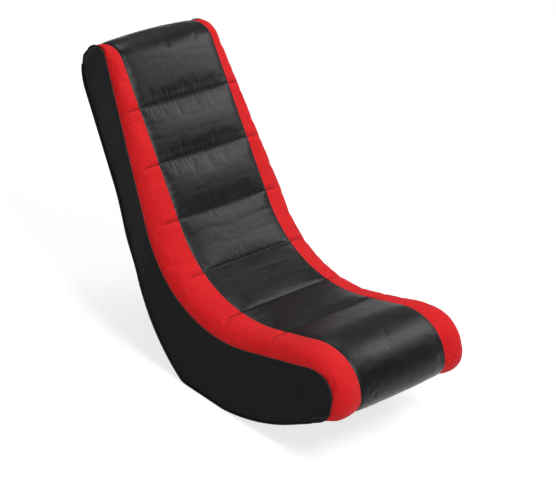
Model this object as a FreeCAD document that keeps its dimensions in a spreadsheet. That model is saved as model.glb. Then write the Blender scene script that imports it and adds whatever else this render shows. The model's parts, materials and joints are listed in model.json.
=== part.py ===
import FreeCAD, Part
import math
import os

from FreeCAD import Rotation, Vector

# Gaming rocker chair, in millimetres. X runs across the chair, +Y towards its back, +Z up.
# The origin is the middle of the flat spot that the rocker stands on.
SIZES = (
    ("overall_width", 403.4, "outside width across the seat"),
    ("head_width", 320.0, "outside width across the head roll"),
    ("centre_width", 266.6, "width of the quilted centre panel"),
    ("seat_height", 175.0, "pad line above the floor at the lowest point of the seat"),
    ("dip_y", -12.5, "lowest point of the seat's hollow, from the standing point"),
    ("dip_radius", 273.0, "pad line radius where the seat turns up into the back"),
    ("head_y", 463.5, "centre of the head roll, back from the standing point"),
    ("head_z", 504.0, "centre of the head roll above the floor"),
    ("head_radius", 47.0, "pad line radius of the head roll"),
    ("nose_y", -213.1, "centre of the nose curve, from the standing point"),
    ("nose_z", 113.0, "centre of the nose curve above the floor"),
    ("nose_radius", 105.0, "pad line radius of the nose"),
    ("chin_radius", 28.0, "pad line radius where the nose turns under"),
    ("chin_heading", 247.0, "heading at which the nose curve tightens"),
    ("chin_run", 38.0, "pad line run under the chin"),
    ("seat_edge_drop", 37.0, "side seam below the pad line at the lowest point of the seat"),
    ("edge_dip_radius", 262.0, "side seam radius where the seat turns up"),
    ("back_edge_y", 293.5, "a point of the side seam at the small of the back"),
    ("back_edge_z", 343.0, "height of that point"),
    ("back_edge_heading", 229.5, "heading of the side seam there"),
    ("back_edge_radius", 900.0, "side seam radius of the back"),
    ("lobe_y", 478.5, "centre of the side panel's head lobe"),
    ("lobe_z", 513.0, "height of that centre"),
    ("lobe_radius", 36.0, "radius of the lobe"),
    ("nape_radius", 92.0, "outline radius below the lobe, at the back"),
    ("nape_heading", 88.0, "heading at which the nape meets the lobe"),
    ("waist_thickness", 60.5, "side panel depth at the waist of the back"),
    ("waist_angle", 41.5, "where the waist lies around the back curve"),
    ("waist_radius", 400.0, "radius of the hollow behind the waist"),
    ("rocker_rear_radius", 450.0, "rocker radius behind the standing point"),
    ("rocker_rear_turn", 30.0, "heading at which the rear rocker curve begins"),
    ("rocker_front_radius", 400.0, "rocker radius before the standing point"),
    ("rocker_front_turn", 8.0, "heading at which the front rocker curve ends"),
    ("stand_length", 95.0, "flat spot that the rocker stands on"),
    ("stand_front_radius", 100.0, "easing radius at the flat spot's front end"),
    ("stand_rear_radius", 40.0, "easing radius at the flat spot's rear end"),
    ("front_y", -248.5, "centre of the side panel's nose curve"),
    ("front_z", 147.0, "height of that centre"),
    ("front_radius", 52.0, "radius of that curve"),
    ("jaw_y", -265.5, "centre of the side panel's lower front curve"),
    ("jaw_z", 130.0, "height of that centre"),
    ("jaw_radius", 35.0, "radius of that curve"),
    ("seam_y", 219.5, "upright seam of the side panels, where the back starts to narrow"),
    ("channel_pitch", 117.6, "distance between the stitched channels"),
    ("channel_count", 6, "stitched channels across the centre panel"),
    ("last_channel", 22.6, "last channel before the seat line's start"),
    ("panel_base", 5.0, "thickness of a quilted panel at its seams"),
    ("crown", 9.0, "how far a channel is stuffed out past its seams"),
    ("seam_gap", 0.6, "gap between two quilted panels at a stitched channel"),
    ("mesh_thickness", 5.0, "thickness of the mesh side strip"),
    ("clearance", 0.3, "gap between soft pieces"),
    ("edge_least", 2.0, "least depth of the side seam below the pad line"),
    ("back_foam_depth", 30.0, "lower face of the back's foam under the pad line"),
    ("foam_depth", 45.0, "pad line to the underside of the foam"),
    ("side_cover", 2.0, "side panel fabric"),
    ("panel_skin", 2.0, "faux leather of the quilted panels, with its backing"),
    ("back_cover_skin", 2.6, "rear panel's thickness"),
    ("rear_cover", 4.0, "rear and underside panel with its folded edge"),
    ("rear_cover_top", 497.0, "height of the rear panel's top edge"),
    ("base_cover_front", 268.5, "how far forward the underside panel reaches"),
    ("cover_proud", 1.5, "the rear panel's edge outside the side panel"),
    ("side_wadding", 6.0, "wadding between the rocker side and its cover"),
    ("rocker_ply", 18.0, "plywood of the rocker sides"),
    ("rocker_inset", 10.0, "rocker side inside the chair's outline"),
    ("rocker_rear_y", 249.5, "rear end of the rocker sides"),
    ("underside_ply", 5.4, "bent plywood sheet under the base"),
    ("underside_front", 202.5, "how far forward the bent sheet reaches"),
    ("underside_rear", 172.5, "how far back the bent sheet reaches"),
    ("seat_deck_ply", 12.0, "bent plywood deck under the seat foam"),
    ("deck_gap", 61.0, "rear edge of the seat deck, along the seat from the foot of the back"),
    ("back_deck_board", 4.0, "hardboard deck behind the back foam"),
    ("rail_thickness", 20.0, "pine cross rails of the base"),
    ("beam_front_y", 261.0, "front beam's front face, before the standing point"),
    ("beam_depth", 96.5, "front beam's depth from front to rear"),
    ("rail_middle_y", 102.5, "middle rail's front face, before the standing point"),
    ("base_foam_rear", 183.5, "rear end of the foam in the base"),
    ("rail_rear_y", 127.5, "rear rail's front face, behind the standing point"),
    ("upright_thickness", 15.0, "plywood uprights of the back"),
    ("upright_depth", 27.0, "front to back depth of the uprights"),
    ("upright_gap", 250.0, "distance between the uprights"),
    ("upright_drop", 32.0, "upper end of the uprights, below the head's foam"),
    ("back_rail_height", 40.0, "height of the back's cross rails"),
    ("lumbar_rail_at", 40.0, "lumbar rail's lower edge, along the back"),
    ("joint_block_length", 45.0, "blocks that join the uprights to the rocker sides"),
    ("corner_block_leg", 38.0, "legs of the triangular corner blocks"),
    ("corner_block_height", 40.0, "height of the corner blocks"),
    ("screw_radius", 2.2, "shank radius of the frame screws"),
    ("screw_length", 42.0, "length of the frame screws"),
    ("tack_width", 12.0, "cardboard tack strips"),
    ("tack_thickness", 1.5, "thickness of the tack strips"),
)

doc = FreeCAD.newDocument("rocker_chair")
sheet = doc.addObject("Spreadsheet::Sheet", "sizes")
for row, (alias, value, note) in enumerate(SIZES, 1):
    sheet.set("A%d" % row, alias)
    sheet.set("B%d" % row, str(value))
    sheet.setAlias("B%d" % row, alias)
    sheet.set("C%d" % row, note)
doc.recompute()
size = {alias: float(sheet.get(alias)) for alias, value, note in SIZES}
nodes = []


class Circle:
    """One round of an outline. A positive radius turns left, a negative one right."""

    def __init__(self, y, z, radius):
        self.y, self.z, self.radius = y, z, radius

    def at(self, heading, depth=0.0):
        """Point where the outline leaves this round at a heading, moved inwards by depth."""
        reach = self.radius - depth
        angle = math.radians(heading)
        return self.y + reach * math.sin(angle), self.z - reach * math.cos(angle)

    def compound(self, radius, heading):
        """The next round of a compound curve, which takes over at a heading."""
        angle = math.radians(heading)
        change = radius - self.radius
        return Circle(self.y - change * math.sin(angle), self.z + change * math.cos(angle), radius)


def tangent_heading(first, second):
    """Heading of the straight line that leaves one round and runs into the next."""
    across, up = second.y - first.y, second.z - first.z
    ratio = (second.radius - first.radius) / math.hypot(across, up)
    if abs(ratio) > 1.0 - 1e-9:
        ratio = math.copysign(1.0, ratio)
    return math.degrees(math.atan2(up, across) - math.asin(ratio))


class Outline:
    """Rounds joined by tangent lines, measured by the length along them."""

    def __init__(self, rounds, start_heading, end_heading, start_run=0.0, end_run=0.0):
        self.pieces = []
        self.starts = []
        self.length = 0.0
        heading = start_heading
        if start_run:
            self.add_line(rounds[0], heading, start_run, before=True)
        for index, this in enumerate(rounds):
            last = index == len(rounds) - 1
            leave = end_heading if last else tangent_heading(this, rounds[index + 1])
            turn = (leave - heading) % 360.0
            if this.radius < 0:
                turn -= 360.0
            if abs(abs(turn) - 360.0) < 0.01:
                turn = 0.0
            if abs(turn) > 0.001:
                self.add_arc(this, heading, turn)
            heading += turn
            if not last:
                begin = this.at(heading)
                end = rounds[index + 1].at(heading)
                run = math.dist(begin, end)
                if run > 0.001:
                    self.add_line(this, heading, run)
        if end_run:
            self.add_line(rounds[-1], heading, end_run)

    def add_line(self, circle, heading, run, before=False):
        shift = run if before else 0.0
        self.starts.append(self.length)
        self.pieces.append(("line", circle, heading, run, shift))
        self.length += run

    def add_arc(self, circle, heading, turn):
        self.starts.append(self.length)
        self.pieces.append(("arc", circle, heading, turn, 0.0))
        self.length += abs(circle.radius * math.radians(turn))

    def on_piece(self, index, along, depth):
        kind, circle, heading, amount, shift = self.pieces[index]
        if kind == "arc":
            turned = math.degrees(along / circle.radius)
            return circle.at(heading + turned, depth) + (heading + turned,)
        y, z = circle.at(heading, depth)
        angle = math.radians(heading)
        forward = along - shift
        return y + forward * math.cos(angle), z + forward * math.sin(angle), heading

    def index_at(self, station):
        index = 0
        for number, start in enumerate(self.starts):
            if station >= start - 1e-6:
                index = number
        return index

    def point(self, station, depth=0.0):
        """y, z and heading at a station, moved inwards by depth."""
        index = self.index_at(station)
        return self.on_piece(index, station - self.starts[index], depth)

    def arc_start(self, number):
        """Station where one of the arcs begins, counted from nought."""
        arcs = [index for index, piece in enumerate(self.pieces) if piece[0] == "arc"]
        return self.starts[arcs[number]]

    def arc_end(self, number):
        arcs = [index for index, piece in enumerate(self.pieces) if piece[0] == "arc"]
        kind, circle, heading, turn, shift = self.pieces[arcs[number]]
        return self.starts[arcs[number]] + abs(circle.radius * math.radians(turn))

    def edges(self, begin, end, depth=0.0):
        """Edges of the outline between two stations, moved inwards by depth."""
        result = []
        for index, piece in enumerate(self.pieces):
            start = self.starts[index]
            finish = self.starts[index + 1] if index + 1 < len(self.starts) else self.length
            low, high = max(begin, start), min(end, finish)
            if high - low < 0.001:
                continue
            first = place(*self.on_piece(index, low - start, depth)[:2])
            last = place(*self.on_piece(index, high - start, depth)[:2])
            if piece[0] == "line":
                result.append(Part.LineSegment(first, last).toShape())
            else:
                middle = place(*self.on_piece(index, (low + high) / 2 - start, depth)[:2])
                result.append(Part.Arc(first, middle, last).toShape())
        return result

    def station_where(self, test, begin, end):
        """First station between two where a test of y and z turns true."""
        low, high = begin, end
        steps = 400
        for step in range(steps + 1):
            station = begin + (end - begin) * step / steps
            if test(*self.point(station)[:2]):
                high = station
                break
            low = station
        for halving in range(40):
            middle = (low + high) / 2
            if test(*self.point(middle)[:2]):
                high = middle
            else:
                low = middle
        return high


def place(y, z, x=0.0):
    return Vector(x, y, z)


def band_face(outline, begin, end, outer, inner):
    """Flat region between two depths of an outline, in the plane of the chair's middle."""
    outside = outline.edges(begin, end, outer)
    inside = outline.edges(begin, end, inner)
    corners = [place(*outline.point(station, depth)[:2])
               for station in (begin, end) for depth in (outer, inner)]
    ends = [Part.LineSegment(corners[0], corners[1]).toShape(),
            Part.LineSegment(corners[2], corners[3]).toShape()]
    return Part.Face(Part.Wire(Part.__sortEdges__(outside + inside + ends)))


def closed_face(outline, depth):
    return Part.Face(Part.Wire(Part.__sortEdges__(outline.edges(0.0, outline.length, depth))))


# The pad line runs from the back of the head roll, over it, down the back and the seat,
# round the nose and under the chin. It is the level of the quilted panel's seams.
head_round = Circle(size["head_y"], size["head_z"], size["head_radius"])
dip_round = Circle(size["dip_y"], size["seat_height"] + size["dip_radius"], -size["dip_radius"])
nose_round = Circle(size["nose_y"], size["nose_z"], size["nose_radius"])
chin_round = nose_round.compound(size["chin_radius"], size["chin_heading"])
pad_tail = size["head_z"] - size["rear_cover_top"] - size["seam_gap"]
UNDER = 329.0
pad = Outline([head_round, dip_round, nose_round, chin_round], 90.0, UNDER,
              pad_tail, size["chin_run"])
head_end = pad.arc_end(0)
dip_start = pad.arc_start(1)
dip_end = pad.arc_end(1)
nose_start = pad.arc_start(2)
nose_end = pad.arc_end(2)
dip_lowest = pad.station_where(lambda y, z: y <= size["dip_y"], dip_start, dip_end)

# The side outline goes round the whole side panel: head lobe, side seam of the back and seat,
# nose, rocker and its flat spot, waist and nape.
stand_rear = Circle(size["stand_length"] / 2, size["stand_rear_radius"], size["stand_rear_radius"])
stand_front = Circle(-size["stand_length"] / 2, size["stand_front_radius"],
                     size["stand_front_radius"])
rear_rocker = stand_rear.compound(size["rocker_rear_radius"], size["rocker_rear_turn"])
front_rocker = stand_front.compound(size["rocker_front_radius"], -size["rocker_front_turn"])
lobe = Circle(size["lobe_y"], size["lobe_z"], size["lobe_radius"])
nape = lobe.compound(size["nape_radius"], size["nape_heading"])
edge_point = Circle(size["back_edge_y"], size["back_edge_z"], 0.0)
back_edge = edge_point.compound(-size["back_edge_radius"], size["back_edge_heading"])
waist_reach = size["back_edge_radius"] + size["waist_thickness"] + size["waist_radius"]
waist_turn = math.radians(size["waist_angle"])
waist = Circle(back_edge.y + waist_reach * math.cos(waist_turn),
               back_edge.z - waist_reach * math.sin(waist_turn), -size["waist_radius"])
edge_dip_z = size["seat_height"] - size["seat_edge_drop"] + size["edge_dip_radius"]
edge_dip = Circle(0.0, edge_dip_z, -size["edge_dip_radius"])
front = Circle(size["front_y"], size["front_z"], size["front_radius"])
jaw = Circle(size["jaw_y"], size["jaw_z"], size["jaw_radius"])
side = Outline([lobe, back_edge, edge_dip, front, jaw, front_rocker, stand_front, stand_rear,
                rear_rocker, waist, nape], size["nape_heading"], size["nape_heading"])
jaw_end = side.arc_end(4)
cover_front = side.station_where(lambda y, z: y >= -size["base_cover_front"], jaw_end - size["jaw_radius"],
                                 side.length)
cover_seam = side.station_where(lambda y, z: y >= size["seam_y"], cover_front, side.length)
cover_top = side.station_where(lambda y, z: z >= size["rear_cover_top"], cover_seam, side.length)


def half_width(y, inset=0.0):
    """Outer face of the side panel from the chair's middle: straight, then narrowing."""
    widest = size["overall_width"] / 2 - size["cover_proud"]
    narrowest = size["head_width"] / 2 - size["cover_proud"]
    share = max(0.0, y - size["seam_y"]) / (size["head_y"] - size["seam_y"])
    return widest - (widest - narrowest) * share - inset


def keep(name, made):
    """Names a finished sub-part, whose solids go to their own file."""
    made.Label = name
    nodes.append((name, made))
    return made


def feature(name, shape):
    made = doc.addObject("Part::Feature", name)
    made.Shape = shape
    return made


def bind(made, **formulas):
    for key, formula in formulas.items():
        made.setExpression(key.replace("__", "."), formula)
    return made


def extrude(name, face, length, direction=Vector(1, 0, 0), middle=True, start=None):
    """Solid swept from a flat face, its length and its start across the chair bound to sizes."""
    made = doc.addObject("Part::Extrusion", name)
    made.Base = feature(name + "_face", face)
    made.DirMode = "Custom"
    made.Dir = direction
    made.Solid = True
    made.Symmetric = middle
    bind(made, LengthFwd=length)
    if start:
        bind(made, Placement__Base__x=start)
    return made


def both(kind, name, base, tool):
    """Boolean of two objects: Part::Cut, Part::Common or Part::Fuse."""
    made = doc.addObject(kind, name)
    made.Base = base
    made.Tool = tool
    return made


def box(name, corner, length, width, height):
    """Box from its lowest corner, with its three sizes as formulas."""
    made = doc.addObject("Part::Box", name)
    bind(made, Length=length, Width=width, Height=height)
    made.Placement.Base = Vector(*corner)
    return made


def flare_face(inner, outer, begin, end, sign):
    """Plan view of a layer of the side, between two insets from the side panel's face."""
    corners = [(half_width(begin, outer), begin), (half_width(end, outer), end),
               (half_width(end, inner), end), (half_width(begin, inner), begin)]
    points = [Vector(sign * x, y, 0) for x, y in corners]
    return Part.Face(Part.makePolygon(points + points[:1]))


def plan_face(inset, begin, end):
    """Plan view across the whole chair, from side to side."""
    rights = [Vector(half_width(y, inset), y, 0) for y in (begin, end)]
    lefts = [Vector(-point.x, point.y, 0) for point in reversed(rights)]
    points = rights + lefts
    return Part.Face(Part.makePolygon(points + points[:1]))


UP = Vector(0, 0, 1)
SIDES = (("left", -1), ("right", 1))
TALL = "head_z + head_radius + crown + 50"
FAR_BACK = size["lobe_y"] + 2 * size["lobe_radius"]
ROOMY = 400.0
soft = size["clearance"]


def formula(text):
    """Turns plain aliases in a formula into references to the sheet."""
    words = text.replace("(", " ( ").replace(")", " ) ").split()
    return " ".join("sizes." + word if word[0].isalpha() else word for word in words)


def section(station, profile):
    """Closed wire across the chair at a station of the pad line, from x and depth pairs."""
    points = []
    for x, depth in profile:
        y, z, heading = pad.point(station, depth)
        points.append(Vector(x, y, z))
    return Part.makePolygon(points + points[:1])


def loft(wires):
    return Part.makeLoft(wires, True, True)


def stations(begin, end, count):
    return [begin + (end - begin) * step / count for step in range(count + 1)]


side_face = closed_face(side, 0.0)


def seam_drop(station):
    """Depth of the side seam below the pad line, found along the pad line's inward normal."""
    low, high = 0.0, 0.0
    while not side_face.isInside(place(*pad.point(station, high)[:2]), 0.001, True):
        low = high
        high += 1.0
    for halving in range(14):
        middle = (low + high) / 2
        if side_face.isInside(place(*pad.point(station, middle)[:2]), 0.001, True):
            high = middle
        else:
            low = middle
    return max(size["edge_least"], high)


class Roll:
    """The rounded side of the pad at one station: from the panel's seam out to the side seam."""

    BEND = [math.radians(angle) for angle in (0, 20, 40, 58, 74, 90)]

    def __init__(self, station):
        self.station = station
        self.drop = seam_drop(station)
        y, z, heading = pad.point(station, self.drop)
        self.inner = size["centre_width"] / 2 + soft
        self.outer = half_width(y)

    def curve(self, skin):
        """x and depth of the rounded side, moved in by a skin's thickness."""
        reach = self.outer - self.inner - skin
        fall = self.drop - skin
        return [(self.inner + reach * math.sin(bend), skin + fall * (1 - math.cos(bend)))
                for bend in self.BEND]

    def skin_section(self, sign, thickness):
        outline = self.curve(0.0) + list(reversed(self.curve(thickness)))
        return section(self.station, [(sign * x, depth) for x, depth in outline])

    def filling_section(self, sign, skin, base):
        outline = self.curve(skin)
        outline += [(outline[-1][0], base), (self.inner, base)]
        return section(self.station, [(sign * x, depth) for x, depth in outline])


# Quilted centre panels, one between each two stitched channels.
channel_count = int(size["channel_count"])
last_seam = dip_end + size["last_channel"]
seams = [last_seam - size["channel_pitch"] * (channel_count - 1 - number)
         for number in range(channel_count)]
panel_ends = [0.0] + seams + [pad.length]
PANEL_ACROSS = (-1.0, -0.93, -0.78, -0.45, 0.0, 0.45, 0.78, 0.93, 1.0)
SECTION_PITCH = 11.5


def quilted_section(station, swell, skin):
    """A stuffed panel's top across the chair, with its lower face or its skin's inner face."""
    half = size["centre_width"] / 2
    top = [(half * v, -swell * math.sqrt(1 - v * v)) for v in PANEL_ACROSS]
    if skin:
        under = [(x, depth + skin) for x, depth in reversed(top)]
        return section(station, top + under)
    return section(station, [(x, depth + size["panel_skin"] + soft) for x, depth in top]
                   + [(half, size["panel_base"]), (-half, size["panel_base"])])


def quilted_layer(begin, end, skin):
    """One layer between two stitched channels, crowned along and across, level at its seams."""
    count = max(6, round((end - begin) / SECTION_PITCH / 1.6))
    wires = []
    for step in range(count + 1):
        share = step / count
        swell = size["crown"] * math.sqrt(max(0.0, math.sin(math.pi * share)))
        wires.append(quilted_section(begin + (end - begin) * share, swell, skin))
    return loft(wires)


waddings = []
for number in range(channel_count + 1):
    begin = panel_ends[number] + (size["seam_gap"] / 2 if number else 0.0)
    end = panel_ends[number + 1] - (size["seam_gap"] / 2 if number < channel_count else 0.0)
    name = "centre_panel_%d" % (number + 1)
    keep(name, feature(name + "_skin", quilted_layer(begin, end, size["panel_skin"])))
    waddings.append(quilted_layer(begin, end, 0.0))
keep("panel_wadding", feature("wadding_set", Part.makeCompound(waddings)))

# Mesh side strips and the foam bolsters under them, which thin out towards the head.
strip_stations = [0.0] + stations(pad.arc_start(0), head_end, 9)
strip_stations += stations(head_end, dip_start, 10)[1:] + stations(dip_start, dip_end, 10)[1:]
strip_stations += stations(dip_end, nose_start, 3)[1:] + stations(nose_start, nose_end, 8)[1:]
strip_stations += stations(nose_end, pad.arc_end(3), 6)[1:] + [pad.length]
rolls = [Roll(station) for station in strip_stations]


def foam_base(station):
    """Depth of the foam's lower face: less in the back than in the seat."""
    return size["back_foam_depth"] if station < dip_start + 0.1 else size["foam_depth"]


bolster_rolls = [roll for roll in rolls if head_end - 0.1 < roll.station < nose_end + 0.1]
for word, sign in SIDES:
    skin = size["mesh_thickness"]
    strip = loft([roll.skin_section(sign, skin) for roll in rolls])
    keep("mesh_strip_" + word, feature("mesh_%s_solid" % word, strip))
    bolster = loft([roll.filling_section(sign, skin + soft, foam_base(roll.station))
                    for roll in bolster_rolls])
    keep("bolster_foam_" + word, feature("bolster_%s_solid" % word, bolster))

# Foam under the centre panels.
foam_top = size["panel_base"] + 4 * soft
FOAM_PIECES = (("head_foam", pad.arc_start(0), head_end - soft, size["back_foam_depth"]),
               ("back_foam", head_end, dip_start, size["back_foam_depth"]),
               ("seat_foam", dip_start + soft, nose_start - soft, size["foam_depth"]),
               ("nose_foam", nose_start, nose_end, size["foam_depth"]))
for name, begin, end, bottom in FOAM_PIECES:
    face = band_face(pad, begin, end, foam_top, bottom)
    keep(name, extrude(name + "_solid", face, formula("centre_width")))

# Decks that the foam lies on.
deck_top = size["foam_depth"] + soft
seat_deck_end = nose_start + 60.0
back_top = size["back_foam_depth"] + soft
back_under = back_top + size["back_deck_board"]
back_face = band_face(pad, head_end + 6.0, dip_start, back_top, back_under)
keep("back_deck", extrude("back_deck_solid", back_face, formula("upright_gap + 2 * upright_thickness")))
inside_width = formula("overall_width - 2 * ( cover_proud + side_cover + side_wadding + rocker_ply )")
deck_face = band_face(pad, dip_start + size["deck_gap"], seat_deck_end, deck_top,
                      deck_top + size["seat_deck_ply"])
keep("seat_deck", extrude("seat_deck_solid", deck_face, inside_width))

# Base: the space between the bent underside sheet and the seat deck, which the rails fill.
above = -(size["seat_edge_drop"] + size["foam_depth"])
pad_zone = band_face(pad, head_end + 1.0, nose_end, above, deck_top)
deck_zone = band_face(pad, head_end + 1.0, nose_end, above,
                      deck_top + size["seat_deck_ply"] + soft)
FULL = formula("2 * overall_width")


def inner_block(name, inset, zone):
    """The chair's inside across its whole width, under the foam or under the deck."""
    whole = extrude(name + "_whole", closed_face(side, inset), formula("overall_width"))
    away = extrude(name + "_zone", zone, FULL)
    return both("Part::Cut", name, whole, away)


core = inner_block("base_core", size["rocker_inset"] + soft, deck_zone)
RAILS = (("front_beam", -size["beam_front_y"], "beam_depth"),
         ("middle_rail", -size["rail_middle_y"], "rail_thickness"),
         ("rear_rail", size["rail_rear_y"], "rail_thickness"))
plain_rails = []
for name, y, depth in RAILS:
    blank = box(name + "_blank", (0, y, 0), inside_width, formula(depth), formula(TALL))
    bind(blank, Placement__Base__x="-Length / 2")
    plain_rails.append(both("Part::Common", name + "_plain", blank, core))
doc.recompute()

# Wood screws through the rocker sides into the rails' ends. Their holes are cut with them.
rocker_outside = size["overall_width"] / 2 - size["cover_proud"] - size["side_cover"]
rocker_outside -= size["side_wadding"]
SCREW_HEAD = 3.0
SCREW_SHARES = (0.25, 0.6)
screws = []
for rail in plain_rails:
    bounds = rail.Shape.BoundBox
    for share in SCREW_SHARES:
        height = bounds.ZMin + share * bounds.ZLength
        for word, sign in SIDES:
            spot = Vector(sign * rocker_outside, bounds.Center.y, height)
            inward = Vector(-sign, 0, 0)
            shank = Part.makeCylinder(size["screw_radius"], size["screw_length"], spot, inward)
            head = Part.makeCone(2 * size["screw_radius"], size["screw_radius"], SCREW_HEAD,
                                 spot, inward)
            screws.append(shank.fuse(head).removeSplitter())
screw_set = keep("frame_screws", feature("screw_set", Part.makeCompound(screws)))
for (name, y, depth), plain in zip(RAILS, plain_rails):
    keep(name, both("Part::Cut", name + "_solid", plain, screw_set))

# Glue blocks in the corners between the rails and the rocker sides.
leg = size["corner_block_leg"]
blocks = []
for (name, y, depth), plain in zip(RAILS, plain_rails):
    begin = y - leg if y > 0 else y + size[depth]
    bounds = plain.Shape.BoundBox
    middle = bounds.ZMin + sum(SCREW_SHARES) / 2 * bounds.ZLength - size["corner_block_height"] / 2
    corner_y = y if y > 0 else begin
    far_y = begin if y > 0 else begin + leg
    for word, sign in SIDES:
        corner_x = sign * (rocker_outside - size["rocker_ply"])
        corners = [Vector(corner_x, corner_y, middle), Vector(corner_x - sign * leg, corner_y, middle),
                   Vector(corner_x, far_y, middle)]
        face = Part.Face(Part.makePolygon(corners + corners[:1]))
        blocks.append(face.extrude(Vector(0, 0, size["corner_block_height"])))
block_set = keep("corner_blocks", feature("block_set", Part.makeCompound(blocks)))

# Foam blocks that fill the base between the front beam and the rails.
bays = (("front", size["beam_depth"] - size["beam_front_y"], -size["rail_middle_y"]),
        ("middle", size["rail_thickness"] - size["rail_middle_y"], size["rail_rear_y"]),
        ("rear", size["rail_rear_y"] + size["rail_thickness"], size["base_foam_rear"]))
for word, begin, end in bays:
    name = "base_foam_" + word
    blank = box(name + "_blank", (0, begin + soft, 0), inside_width, "1 mm", formula(TALL))
    blank.Width = end - begin - 2 * soft
    blank.setExpression("Width", None)
    bind(blank, Length=inside_width + " - 2 * sizes.clearance", Placement__Base__x="-Length / 2")
    blank.Width = end - begin - 2 * soft
    plain = both("Part::Common", name + "_plain", blank, core)
    keep(name, both("Part::Cut", name + "_solid", plain, block_set))

# Rocker sides with the wadding and the lower side panels outside them.
side_core = inner_block("side_core", size["rocker_inset"], pad_zone)
SIDE_LAYERS = formula("overall_width / 2 - cover_proud - side_cover - side_wadding - rocker_ply")
for word, sign in SIDES:
    start = SIDE_LAYERS if sign > 0 else "-(%s + sizes.rocker_ply)" % SIDE_LAYERS
    blank = box("rocker_blank_" + word, (0, 0, 0), formula("rocker_ply"),
                formula("rocker_rear_y + beam_front_y"), formula(TALL))
    bind(blank, Placement__Base__x=start, Placement__Base__y=formula("-1 * beam_front_y"))
    plain = both("Part::Common", "rocker_plain_" + word, blank, side_core)
    keep("rocker_side_" + word, both("Part::Cut", "rocker_" + word, plain, screw_set))
    pad_start = formula("overall_width / 2 - cover_proud - side_cover - side_wadding + clearance")
    thickness = formula("side_wadding - 2 * clearance")
    start = pad_start if sign > 0 else "-(%s + %s)" % (pad_start, thickness)
    blank = box("wadding_blank_" + word, (0, 0, 0), thickness,
                formula("seam_y + beam_front_y - clearance"), formula(TALL))
    bind(blank, Placement__Base__x=start, Placement__Base__y=formula("-1 * beam_front_y"))
    keep("side_wadding_" + word, both("Part::Common", "wadding_" + word, blank, side_core))

# The back's frame is square to the straight of the back and stands on its lowest point.
back_heading = pad.point(dip_start)[2]
back_foot = pad.point(dip_start, back_under)
lean = math.radians(back_heading - 180.0)
block_end = back_foot[0] + size["joint_block_length"] * math.cos(lean)
block_end += size["upright_depth"] * math.sin(lean)

# Side panels: the whole side outline less the rear panel's edge, split at the upright seam.
panel_whole = extrude("panel_whole", closed_face(side, soft), formula("overall_width"))
rear_edge = extrude("rear_edge", band_face(side, cover_front - 4.0, side.length, -20.0,
                                            size["rear_cover"] + soft), FULL)
panel_block = both("Part::Cut", "panel_block", panel_whole, rear_edge)
for word, sign in SIDES:
    layers = (("lower", -ROOMY, size["seam_y"] - soft / 2),
              ("upper", size["seam_y"] + soft / 2, FAR_BACK))
    for part_word, begin, end in layers:
        plan = flare_face(size["side_cover"], 0.0, begin, end, sign)
        layer = extrude("layer_%s_%s" % (part_word, word), plan, formula(TALL), UP, middle=False)
        keep("side_cover_%s_%s" % (part_word, word),
             both("Part::Common", "side_%s_%s" % (part_word, word), panel_block, layer))
    # foam that fills the back's side between its upright and the upper side panel
    upright_face = size["upright_gap"] / 2 + size["upright_thickness"] + soft
    begin = block_end + soft
    end = size["lobe_y"] - size["lobe_radius"]
    corners = [(half_width(begin, size["side_cover"] + soft), begin),
               (half_width(end, size["side_cover"] + soft), end),
               (upright_face, end), (upright_face, begin)]
    points = [Vector(sign * x, y, 0) for x, y in corners]
    wedge = extrude("wedge_" + word, Part.Face(Part.makePolygon(points + points[:1])),
                    formula(TALL), UP, middle=False)
    keep("back_side_foam_" + word, both("Part::Common", "back_side_" + word, side_core, wedge))

# Rear and underside panels, with a folded edge that stands proud of the side panels.
RANGES = (("back_cover", "back_cover_skin", cover_seam + soft, cover_top, size["seam_y"], FAR_BACK),
          ("base_cover", "rear_cover", cover_front, cover_seam, -ROOMY, size["seam_y"]))
for name, skin, begin, end, plan_begin, plan_end in RANGES:
    blank = extrude(name + "_blank", band_face(side, begin, end, 0.0, size[skin]), FULL)
    plan = extrude(name + "_plan", plan_face(-size["cover_proud"], plan_begin, plan_end),
                   formula(TALL + " + 400"), UP, middle=False)
    plan.Placement.Base = Vector(0, 0, -ROOMY)
    keep(name, both("Part::Common", name + "_solid", blank, plan))

# Bent sheet over the rocker sides' lower edges, inside the underside panel.
sheet_begin = side.station_where(lambda y, z: y >= -size["underside_front"], cover_front,
                                 cover_seam)
sheet_end = side.station_where(lambda y, z: y >= size["underside_rear"], sheet_begin, cover_seam)
sheet_face = band_face(side, sheet_begin, sheet_end, size["rocker_inset"] - size["underside_ply"],
                       size["rocker_inset"])
keep("underside_sheet", extrude("underside_solid", sheet_face, inside_width))

# Uprights, cross rails and joint blocks of the back.
LEAN = Rotation(Vector(1, 0, 0), back_heading - 180.0)


def on_back(name, along, across, length, width, height):
    """Board under the back deck: its foot, its start across, its width, run and thickness."""
    made = doc.addObject("Part::Box", name)
    bind(made, Length=length, Width=width, Height=height)
    doc.recompute()
    deep = made.Height.Value
    y = back_foot[0] + along * math.cos(lean) + deep * math.sin(lean)
    z = back_foot[1] + along * math.sin(lean) - deep * math.cos(lean)
    made.Placement = FreeCAD.Placement(Vector(across, y, z), LEAN)
    return keep(name, made)


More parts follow.
